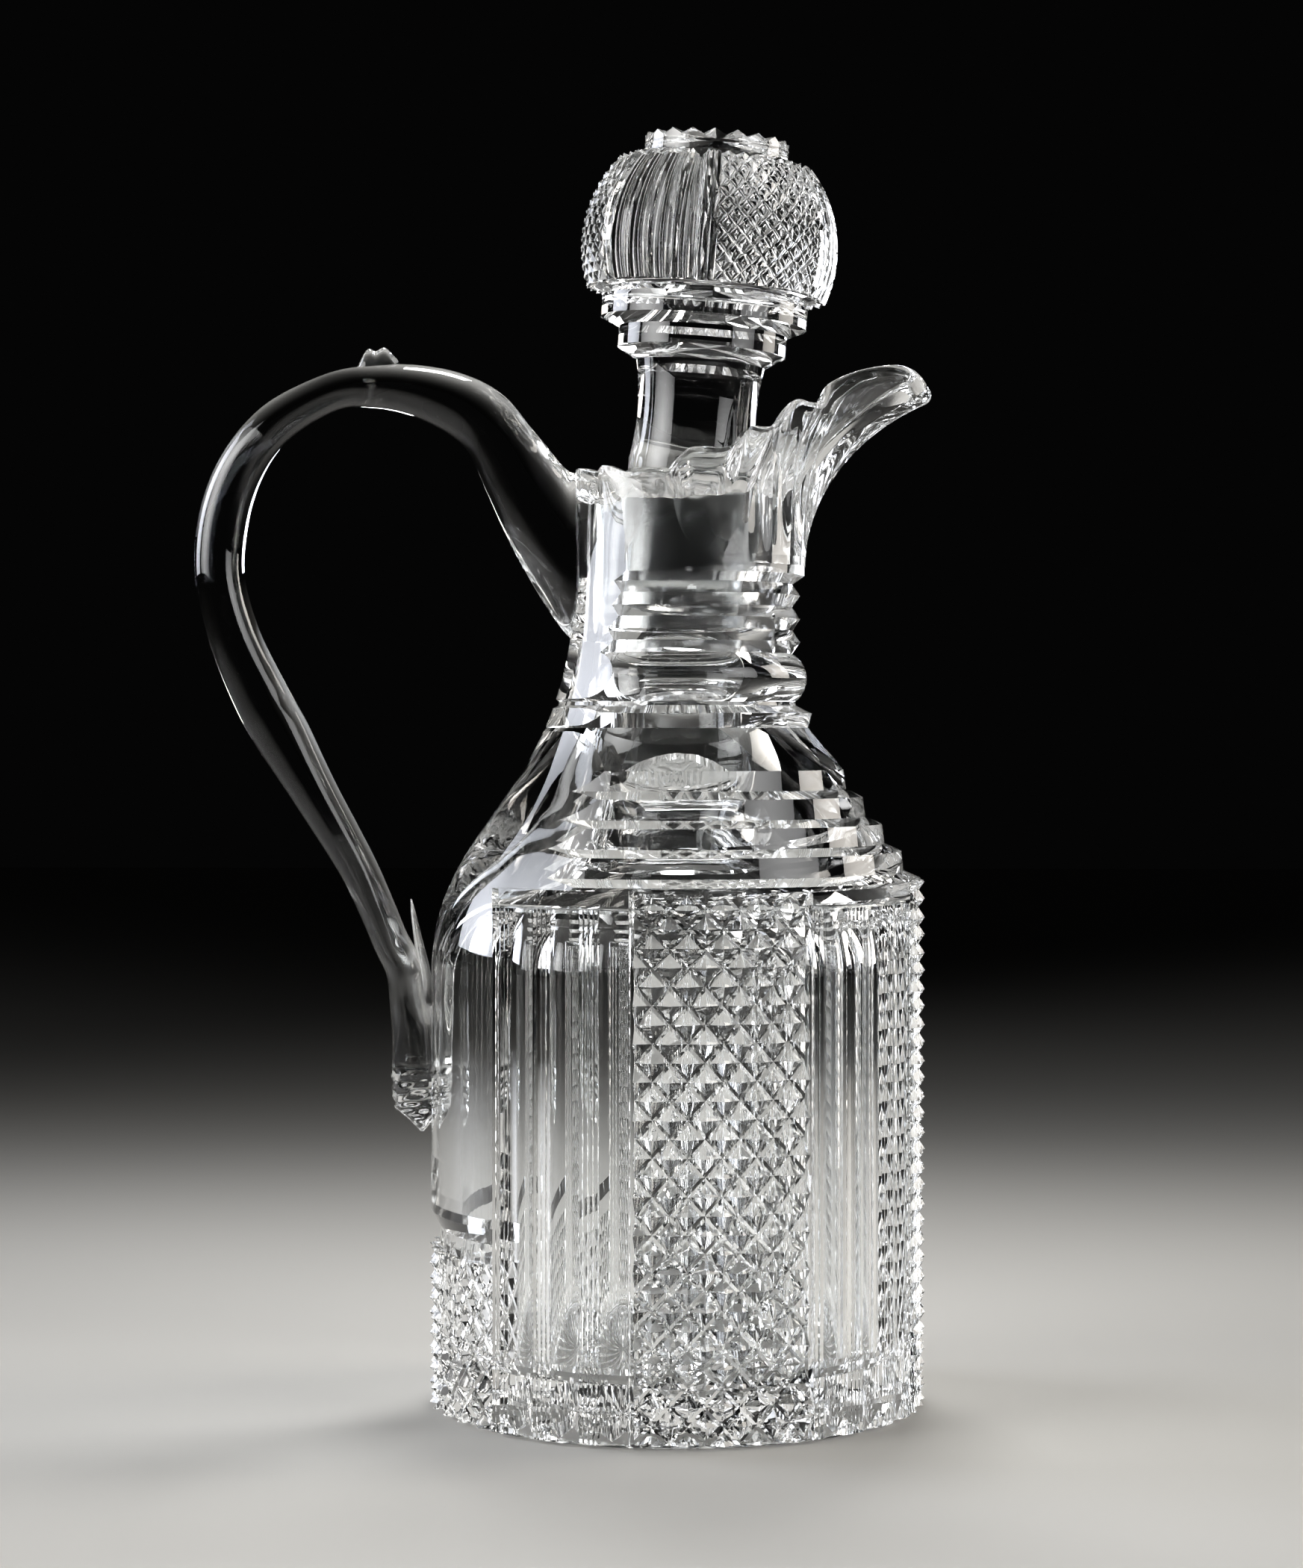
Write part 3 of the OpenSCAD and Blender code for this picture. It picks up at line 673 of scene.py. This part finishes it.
def outside(t):
    """A ring of the outside, at a share of the way up. It leaves the neck upright and flares out."""
    ring = []
    for (x, y, z), edge in zip(crest, lip(-1)):
        a = math.atan2(y, x)
        r = min(PLAIN_R, ground(BACK_R, Z_BOWL, math.degrees(a))) + 0.12
        low = Vector((r * math.cos(a), r * math.sin(a), Z_BOWL - 2))
        edge = Vector(edge)
        rise = edge.z - low.z
        up = low + Vector((0, 0, 0.4 * rise))
        turn = Vector((lerp(low.x, x, 0.35), lerp(low.y, y, 0.35), low.z + 0.8 * rise))
        u = 1 - t
        p = u ** 3 * low + 3 * u * u * t * up + 3 * u * t * t * turn + t ** 3 * edge
        ring.append(p + Vector((-math.cos(a), -math.sin(a), 0.4)) * fan(math.degrees(a), t))
    return ring


def inside(t):
    """A ring of the inside, at a share of the way down. The spout's channel falls late and steeply."""
    ring = []
    for x, y, z in crest:
        wide = lip_width(x, y)
        start = inset(x, y, z, wide, wide / 2)
        s = (PLUG_R - 2) / math.hypot(x - X_MOUTH, y)
        end = (X_MOUTH + (x - X_MOUTH) * s, y * s)
        fall = 0.8 + 0.85 * math.exp(-off_spout(x, y) / 7)
        flat = [lerp(p, q, t) for p, q in zip(start[:2], end)]
        ring.append(flat + [lerp(start[2], Z_MOUTH, t ** fall)])
    return ring


rim_rings = [outside(k / 16) for k in range(17)]
rim_rings += [lip(share) for share in (-0.66, -0.33, 0, 0.25, 0.45, 0.65, 0.85, 1, 1.15, 1.35, 1.55, 1.75)]
rim_rings += [inside(t) for t in (0, 0.03, 0.07, 0.13, 0.2, 0.3, 0.42, 0.56, 0.72, 0.86, 1)]
rim = skinned("rim", rim_rings)
print("rings over the rim:", len(rim_rings))

# %% Ground facets of the rim
FACETS = (72, -72, 119, -119)     # their angles from the spout
FACET_OFF = 0.945 * NECK_R        # from the jug's axis to a facet
FACET_UP = 21                     # height over the plain band at which that holds
FACET_LEAN = 0.164                # how much nearer it comes for each millimetre up


def facet(middle):
    """A slab that grinds one flat facet on the outside of the rim, leaning in as it rises."""
    points = [(FACET_OFF - (z - Z_PLAIN - FACET_UP) * FACET_LEAN + out, u, z)
              for z in (Z_PLAIN, Z_RIM + 15) for u in (-15, 15) for out in (0, 9)]
    faces = [(0, 1, 3, 2), (4, 6, 7, 5), (0, 4, 5, 1), (2, 3, 7, 6), (0, 2, 6, 4), (1, 5, 7, 3)]
    turn = Matrix.Rotation(math.radians(middle), 4, "Z")
    return solid("facet", [turn @ Vector(v) for v in points], faces)


rim = combine(rim, [facet(a) for a in FACETS], "DIFFERENCE")
print("rim faces:", len(rim.data.polygons))

# %% [markdown]
# ## The whole body
# The core is the glass under the cutting. Everything is joined to it, and then the cavity and the
# ground socket are cut out. The socket leans with the stopper.

# %% Core and cavity
CORNER_R = 6.0                # rounding of the cavity's lower corner
Z_HOLLOW = Z_BEAD + 13        # top of the cavity, inside the neck

inner_curve = [(r - 1, z) for r, z in blank if r - 1 < CORE_R]
foot = [(0, 0), (CORE_R - FOOT_H, 0), (CORE_R, FOOT_H), (CORE_R, inner_curve[0][1] - 4)]
core = spun("core", foot + inner_curve + [(BACK_R - 1, Z_BOWL - 0.5), (0, Z_BOWL - 0.5)])
corner = [(WALL_R - CORNER_R + CORNER_R * math.sin(a), BASE_T + CORNER_R - CORNER_R * math.cos(a))
          for a in (math.radians(15 * k) for k in range(7))]
inner_wall = s_curve(WALL_R, BODY_H - 20, BORE_R, Z_HOLLOW, 40)
hollow = spun("hollow", [(0, BASE_T)] + corner + inner_wall + [(0, Z_HOLLOW)])
print("cavity from", BASE_T, "to", round(Z_HOLLOW, 2), "mm")


# %% Ground socket
def cone_r(down):
    """Radius of the plug at a depth under its top."""
    return lerp(PLUG_R, PLUG_TIP_R, down / PLUG_L)


bore = [(cone_r(down) + GAP, MOUTH - down) for down in (PLUG_L, CLEAR, 0)]
socket = spun("socket", [(0, -1), (PLUG_TIP_R + GAP, -1)] + bore
              + [(PLUG_R + GAP + 3, MOUTH + 12), (0, MOUTH + 12)], steps=120)
tilt = Matrix.Translation((0, 0, Z_PIVOT)) @ Matrix.Rotation(LEAN, 4, "Y")
socket.data.transform(tilt)
print("socket", round(2 * (PLUG_R + GAP), 2), "mm across at its mouth")

# %% Star in the underside
STAR_N = 24           # mitre cuts
STAR_R = 47.0         # they end inside the ring that the jug stands on
STAR_DEEP = 2.6       # how much deeper a cut is at its end than the ridges beside it

rays = [(math.cos(math.pi * k / STAR_N), math.sin(math.pi * k / STAR_N)) for k in range(2 * STAR_N)]
star = skinned("star", [
    [(STAR_R * x, STAR_R * y, -2) for x, y in rays],
    [(STAR_R * x, STAR_R * y, 0.3 + STAR_DEEP * (k % 2)) for k, (x, y) in enumerate(rays)],
    [(2 * x, 2 * y, 0.5) for x, y in rays],
])
print("cuts in the star:", STAR_N)

# %% Join and hollow the body
body = combine(core, diamonds + flutes + [shoulder, rim], "UNION")
body.name = "cut_body"
body = combine(body, [hollow, socket, star], "DIFFERENCE")
print("body faces:", len(body.data.polygons))

# %% [markdown]
# ## Handle
# The handle is a rod of hot glass. It was stuck to the neck, drawn up and round, and pressed on the
# body with a small tail. It is skinned over sections that were read off its outline. Each section
# gives its middle, its thickness and breadth, and the way that its outer side faces.

# %% Handle sections
REACH = 111.5         # from the jug's axis to the outer side of the loop
LOOP_T = 10.0         # thickness of the rod
LOOP_B = 13.0         # and its breadth
LOOP_RISE = 24.8      # the height over the rim that a row's second number is a share of
FOOT_Z = 62.0         # where the pressed end stops
WALL_X = 1 - BODY_R   # a little inside the back of the body

# Here the first number is a share of the way from the neck to the reach.
upper_loop = [
    (-0.04, -0.76, 38, 16, 0), (0.02, -0.75, 38, 18, 0), (0.13, -0.2, 29, 18, 8),
    (0.21, 0.27, 22.4, 17, 10), (0.29, 0.57, 16.6, 15.5, 1), (0.405, 0.74, LOOP_T + 2.5, LOOP_B + 1, -2),
    (0.525, 0.795, LOOP_T - 0.2, LOOP_B, -2), (0.645, 0.735, LOOP_T - 1.2, LOOP_B, -15),
    (0.8, 0.407, LOOP_T + 0.3, LOOP_B, -26), (0.898, -0.145, LOOP_T + 2.2, LOOP_B, -45),
    (0.934, -0.83, LOOP_T + 1.5, LOOP_B, -84), (0.9, -1.456, LOOP_T + 1.7, LOOP_B, -104),
    (0.824, -2.08, LOOP_T + 3, LOOP_B, -112),
]
# Here the first two are shares of the way from the reach to the body, and from the rim to the foot.
lower_loop = [
    (0.358, 0.395, LOOP_T + 3, LOOP_B, -119), (0.502, 0.489, LOOP_T + 0.6, LOOP_B, -123),
    (0.675, 0.599, LOOP_T - 1.2, LOOP_B, -118), (0.761, 0.6675, LOOP_T - 1.7, LOOP_B + 1, -114),
    (0.816, 0.715, LOOP_T - 1.8, LOOP_B + 2, -112),
]
# Here they are millimetres, out from the body and up from the foot.
pressed_end = [
    (6.9, 36.5, 9, LOOP_B + 3, -104), (5.7, 29.6, 9.7, LOOP_B + 4, -96), (4.7, 22.8, 10.8, LOOP_B + 4, -91),
    (4.5, 12.5, 11, LOOP_B + 3, -90), (4.4, 7.4, 10.6, LOOP_B + 1, -90), (4.2, 4.6, 9.4, LOOP_B, -88),
    (3.6, 2, 5.4, LOOP_B - 4, -80), (3.2, -0.4, 1, 2, -75),
]
sections = [(lerp(-BACK_R, -REACH, x), Z_RIM + LOOP_RISE * z, t, b, a) for x, z, t, b, a in upper_loop]
sections += [(lerp(-REACH, WALL_X, x), lerp(Z_RIM, FOOT_Z, z), t, b, a) for x, z, t, b, a in lower_loop]
sections += [(WALL_X - x, FOOT_Z + z, t, b, a) for x, z, t, b, a in pressed_end]
print("sections of the handle:", len(sections))

# %% Skin of the handle
CREASE = 0.45         # height of the creases in the tail


def crinkle(z, turn):
    """Height of the creases that the tool left in the pressed tail."""
    tail = min(1, max(0, (FOOT_Z + 17 - z) / 6)) * min(1, max(0, (z - FOOT_Z - 1) / 4))
    return CREASE * tail * math.sin(2.1 * z + 2.2 * math.sin(turn)) * math.sin(3 * turn + 0.5 * z)


def handle_ring(x, z, thick, broad, facing, sides=48):
    """An oval ring round one section."""
    s = math.sin(math.radians(facing))
    c = math.cos(math.radians(facing))
    ring = []
    for turn in (2 * math.pi * k / sides for k in range(sides)):
        half = thick / 2 * math.cos(turn) * (1 + crinkle(z, turn) * 2 / thick)
        ring.append((x + half * s, broad / 2 * math.sin(turn) + crinkle(z, turn), z + half * c))
    return ring


handle = skinned("drawn_handle", [handle_ring(*row) for row in smooth_path(sections, 12)])
print("handle faces:", len(handle.data.polygons))

# %% [markdown]
# The thumb crest is pinched up on top of the loop, in two points. The spur is where the hot rod
# stuck to the body for a moment and was drawn off again. Both are thin ridges of the same glass.


# %% Thumb crest
def round_turns(n=24):
    """Angles round a thin ridge."""
    return [math.radians(360 / n * k) for k in range(n)]


CREST_X = lerp(-BACK_R, -REACH, 0.523)
CREST_Z = Z_RIM + LOOP_RISE - 3
CREST_SUNK = 2        # how far the crest's underside reaches into the rod

# A row gives a step along the loop, and the crest's half breadth and height there.
crest_rows = [(-5, 0.5, 1), (-3.8, 2, 3.2), (-1.8, 2.7, 6.6), (0.1, 2.6, 6.1), (2, 2.8, 7),
              (3.9, 2.4, 5.4), (6, 1.6, 3), (7.2, 0.5, 1)]
crest_rings = []
for along, half, high in smooth_path(crest_rows, 6):
    ring = [(half * math.sin(a), max(-CREST_SUNK, high * math.cos(a))) for a in round_turns()]
    crest_rings.append([(CREST_X + along, y, CREST_Z + h) for y, h in ring])
thumb = skinned("thumb", crest_rings)
print("thumb crest faces:", len(thumb.data.polygons))

# %% Spur
# A row gives a height, and the spur's half breadth, half thickness and distance from the body.
spur_rows = [(FOOT_Z + 24, 5.5, 1.6, 2.2), (FOOT_Z + 31, 5, 1.5, 2.1), (FOOT_Z + 37, 4.2, 1.3, 2.7),
             (FOOT_Z + 43, 3, 0.95, 3.9), (FOOT_Z + 49, 1.6, 0.6, 5), (FOOT_Z + 52.8, 0.4, 0.15, 5.6)]
spur_rings = []
for z, half, thick, off in smooth_path(spur_rows, 6):
    spur_rings.append([(WALL_X - off + thick * math.cos(a), half * math.sin(a), z) for a in round_turns()])
spur = skinned("spur", spur_rings)
handle = combine(handle, [thumb, spur], "UNION")
print("handle faces with crest and spur:", len(handle.data.polygons))

# %% [markdown]
# Where two pieces of glass are fused, light goes straight through the join. The handle is cut to
# the body's own surface, and reaches a hair's breadth into it, so that a ray enters one piece just
# before it leaves the other and isn't turned aside.

# %% Fit the handle to the body
HAIR = 0.05
seat = spun("seat", [(0, 20), (BLANK_R - HAIR, 20)] + [(r - HAIR, z) for r, z in blank]
            + [(BACK_R - HAIR, Z_RIM - 1), (0, Z_RIM - 1)])
handle = combine(handle, [seat], "DIFFERENCE")
print("handle faces after fitting:", len(handle.data.polygons))

# %% [markdown]
# ## Stopper
# The stopper is one solid piece: a tapered plug, a waisted shank, two discs, a ball cut with three
# panels of flutes and three of fine diamonds, and a cap with a star cut in its top.

# %% Plug, shank and discs
SHANK_R = PLUG_R - 1.2        # where the shank leaves the plug
WAIST_R = 13.4                # narrowest part of the shank
LOWER_DISC_R = 19.3
UPPER_DISC_R = 23.6
SHANK_ROWS = 24

plug = [(0, 1.5 - PLUG_L), (PLUG_TIP_R - 1.4, 1.5 - PLUG_L), (PLUG_TIP_R - 0.1, 2.8 - PLUG_L),
        (cone_r(CLEAR), -CLEAR), (PLUG_R - 0.15, -1.2), (SHANK_R, 0.4)]
shank = []
for i in range(SHANK_ROWS + 1):
    t = i / SHANK_ROWS
    bow = 4 * t * (1 - t) * (SHANK_R - WAIST_R - 0.3)
    shank.append((lerp(SHANK_R, LOWER_DISC_R - 4.6, t) - bow, lerp(3, SHANK_H - 2.8, t)))
z1 = SHANK_H
z2 = SHANK_H + DISC_H
z3 = SHANK_H + 2 * DISC_H
discs = [(LOWER_DISC_R, z1), (LOWER_DISC_R, z2 - 2), (UPPER_DISC_R, z2), (UPPER_DISC_R, z3 - 1.8),
         (UPPER_DISC_R - 2, z3 - 0.4), (UPPER_DISC_R - 2, z3 + 3), (0, z3 + 3)]
stem = spun("stem", plug + shank + discs, steps=144)
print("stem", len(stem.data.polygons), "faces")

# %% Bending a sheet on to the ball
Z_BALL = z3 - 0.6             # lower face of the ball, which sits in the upper disc
SHEET_LOW = 0.5               # a panel starts this far above that face
SHEET_H = BALL_H - 2


def ball_r(h):
    """Radius of the ball at a height over its lower face."""
    return math.sqrt(max(1, BALL_R ** 2 - (h - BALL_LOW) ** 2))


def on_ball(middle, relief):
    """Bends a sheet on to the ball, with the tops of its relief on the ball's full radius."""
    def place(u, v, h):
        z = SHEET_LOW + v
        p = Vector((ball_r(z), 0, z - BALL_LOW)) * (1 + (h - relief) / BALL_R)
        a = math.radians(middle) + u / BALL_R
        return p.x * math.cos(a), p.x * math.sin(a), p.z + BALL_LOW + Z_BALL
    return place


print("ball", 2 * BALL_R, "mm across")

# %% Panels of the ball
BALL_RELIEF = 1.05            # height of a fine diamond
BALL_COUNT = 14               # half diamonds across and up a panel
BALL_CUT = 0.5                # width of the flatter bottom of a cut between them
BALL_FLUTE = 1.8              # depth of a flute
FLUTE_STEP = 11.8             # from the middle of one flute to the next, in degrees
FLUTE_BROAD = 9.0             # breadth of a flute
BALL_LINE = 0.6               # depth of the fine lines
BALL_LINE_DEG = 3.2           # and their room
BEND_ROWS = 20                # rows of faces that let a fluted sheet bend


def ball_flutes(middle, degrees):
    """Four hollow flutes with fine lines on the ridges, from the front seen from above."""
    middles = [FLUTE_STEP * k for k in (-1.5, -0.5, 0.5, 1.5)]
    front = flute_front(-degrees / 2, degrees / 2, middles, FLUTE_BROAD, BALL_FLUTE,
                        BALL_LINE_DEG, BALL_LINE)
    sheet = bmesh.new()
    grid = []
    for j in range(BEND_ROWS + 1):
        v = SHEET_H * j / BEND_ROWS
        grid.append([sheet.verts.new((math.radians(a) * BALL_R, v, -deep)) for a, deep in front])
    for low, high in zip(grid, grid[1:]):
        for i in range(len(front) - 1):
            sheet.faces.new((low[i], low[i + 1], high[i + 1], high[i]))
    return bent("ball_flutes", backed(sheet, 3.0, 1.0), on_ball(middle, 0))


def ball_diamonds(middle, degrees):
    """A panel of fine diamonds."""
    width = math.radians(degrees) * BALL_R
    sheet = diamond_sheet(width, SHEET_H, BALL_COUNT, BALL_COUNT, BALL_RELIEF, BALL_CUT)
    return bent("ball_diamonds", backed(sheet, 2.5, 1.0), on_ball(middle, BALL_RELIEF))


print("fine diamonds across a panel:", BALL_COUNT // 2)

# %% The whole ball
FLUTED_DEG = 58               # angle that a panel of flutes takes of each third of the ball
TURN = 34.5                   # how far the ball is turned in the photograph, from the spout
PLAIN_EDGE = 1.6              # plain angle between two panels

core_rows = [(ball_r(h) - BALL_FLUTE - 0.4, Z_BALL + h) for h in (BALL_H * k / 40 for k in range(1, 40))]
ball_core = [(0, Z_BALL + 0.2)] + core_rows + [(0, Z_BALL + BALL_H - 0.3)]
ball_tools = [spun("ball_core", ball_core, steps=120)]
diamond_deg = 120 - FLUTED_DEG
for start in (TURN, TURN + 120, TURN + 240):
    ball_tools.append(ball_diamonds(start + diamond_deg / 2, diamond_deg - PLAIN_EDGE))
    ball_tools.append(ball_flutes(start - FLUTED_DEG / 2, FLUTED_DEG - PLAIN_EDGE))
print("ball pieces:", len(ball_tools))

# %% Star-cut cap
CAP_R = 16.5
CAP_H = 4.3
CAP_N = 20                    # points round the cap
CAP_NOTCH = 1.4               # depth of the notches between them
CAP_SHY = 0.01                # keeps the points just inside the CAD model's top

angles = [math.pi * i / CAP_N for i in range(2 * CAP_N)]
points = [(CAP_R * math.cos(a), CAP_R * math.sin(a)) for a in angles]
z_cap = Z_BALL + BALL_H
cap = skinned("cap", [
    [(x, y, z_cap - 3) for x, y in points],
    [(x, y, z_cap + CAP_H - CAP_SHY - CAP_NOTCH * (i % 2)) for i, (x, y) in enumerate(points)],
    [(x * 0.2, y * 0.2, z_cap + CAP_H - 0.9) for x, y in points],
])
stopper = combine(stem, ball_tools + [cap], "UNION")
stopper.name = "cut_stopper"
stopper.data.transform(tilt @ Matrix.Translation((0, 0, MOUTH)))
print("stopper faces:", len(stopper.data.polygons))

# %% [markdown]
# ## Finish each piece
# Polished curves are shaded smooth and the edges of the cuts are kept sharp. Then the glass is
# scaled to metres, given its material, and told which CAD node it replaces and which body it rides.

# %% Shade, scale, dress and ride
CUT_EDGE_DEG = 14     # faces that meet at more than this angle keep their edge, on cut glass
DRAWN_EDGE_DEG = 35   # and on the drawn handle


def grind(piece):
    """Gives the finely matt glass to the faces that lie on the ground cone of plug and socket."""
    piece.data.materials.append(ground_crystal)
    upright = tilt.inverted()
    for face in piece.data.polygons:
        p = upright @ face.center
        share = (p.z - MOUTH + PLUG_L) / PLUG_L
        off_cone = abs(math.hypot(p.x, p.y) - lerp(PLUG_TIP_R, PLUG_R, share))
        face.material_index = int(0 < share < 1 - CLEAR / PLUG_L and off_cone < 2 * GAP)


def finish_piece(piece, material, node, body_name, sharp_deg, ground_too=False):
    """Shades a piece, scales it to metres and hands it to the frame."""
    piece.data.materials.clear()
    piece.data.materials.append(material)
    if ground_too:
        grind(piece)
    piece.data.transform(Matrix.Scale(0.001, 4))
    piece.data.shade_smooth()
    piece.data.set_sharp_from_angle(angle=math.radians(sharp_deg))
    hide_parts(node)
    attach(piece, body_name)
    low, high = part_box(node)
    print(piece.name, "rides on", body_name, "CAD", [round(v, 4) for v in (*low, *high)])


finish_piece(body, cut_crystal, "jug_body", "jug", CUT_EDGE_DEG, True)
finish_piece(handle, drawn_crystal, "handle", "jug", DRAWN_EDGE_DEG)
finish_piece(stopper, cut_crystal, "stopper", "stopper", CUT_EDGE_DEG, True)

# %% [markdown]
# ## Floor, lamps and surroundings
# Glass has no colour of its own, so what it shows is its surroundings. Cut glass is photographed in
# a dark room, between tall soft lights: the facets then pick out white from black. The floor is
# plain pale card, which is a little rough and shows only a soft shadow. The room beyond it is dark.

# %% Floor
FLOOR_HALF = 3.0      # half the floor's width, in metres
UNDER_JUG = 0.0001    # the hair's breadth between it and the jug, in metres


def plain_floor():
    """A square of pale card on the table."""
    mesh = bpy.data.meshes.new("floor")
    signs = ((-1, -1), (1, -1), (1, 1), (-1, 1))
    mesh.from_pydata([(x * FLOOR_HALF, y * FLOOR_HALF, -UNDER_JUG) for x, y in signs], [], [(0, 1, 2, 3)])
    material = bpy.data.materials.new("pale_card")
    material.use_nodes = True
    shader = material.node_tree.nodes["Principled BSDF"]
    shader.inputs["Base Color"].default_value = linear("#cfcdc8")
    shader.inputs["Roughness"].default_value = 0.55
    mesh.materials.append(material)
    new_piece("floor", mesh)


plain_floor()
print("floor", 2 * FLOOR_HALF, "m across")

# %% Lamps
AIM = Vector((0, 0, 0.18))
GRID_DEG = 62         # a grid over a soft box keeps its light off the far floor
COOL = "#f1f5ff"
WARM = "#fff9f1"
PLAIN = "#ffffff"


def soft_lamp(name, bearing_deg, away, up, width, height, power, tint):
    """A soft box with a grid. Its bearing is from the camera's side, clockwise seen from above."""
    data = bpy.data.lights.new(name, "AREA")
    data.shape = "RECTANGLE"
    data.size = width
    data.size_y = height
    data.energy = power
    data.spread = math.radians(GRID_DEG)
    data.color = linear(tint)[:3]
    lamp = bpy.data.objects.new(name, data)
    scene.collection.objects.link(lamp)
    turn = math.radians(bearing_deg)
    lamp.location = (-away * math.sin(turn), -away * math.cos(turn), up)
    lamp.rotation_euler = (AIM - lamp.location).to_track_quat("-Z", "Y").to_euler()
    lamp.visible_camera = False
    return lamp


soft_lamp("left_back", 107, 0.95, 0.46, 0.46, 0.6, 1.0, COOL)
soft_lamp("left_front", 66, 0.95, 0.46, 0.80, 0.6, 1.5, PLAIN)
soft_lamp("right_back", -106, 0.95, 0.46, 0.46, 0.6, 0.9, WARM)
soft_lamp("right_front", -60, 0.95, 0.46, 0.60, 0.6, 0.65, PLAIN)
soft_lamp("top_lamp", 180, 0.35, 0.95, 0.25, 0.25, 0.65, PLAIN)

# %% Dark room
world = bpy.data.worlds.new("dark_room")
scene.world = world
world.use_nodes = True
room = world.node_tree.nodes["Background"]
room.inputs["Color"].default_value = linear("#050505")
room.inputs["Strength"].default_value = 1.0
print("world:", world.name)

# %% [markdown]
# ## Render settings that belong to the scene
# Light bounces many times inside cut glass, so it is allowed more bounces than usual.

# %% Bounces and view
scene.cycles.max_bounces = 24
scene.cycles.transmission_bounces = 24
scene.cycles.glossy_bounces = 16
scene.view_settings.view_transform = "Standard"
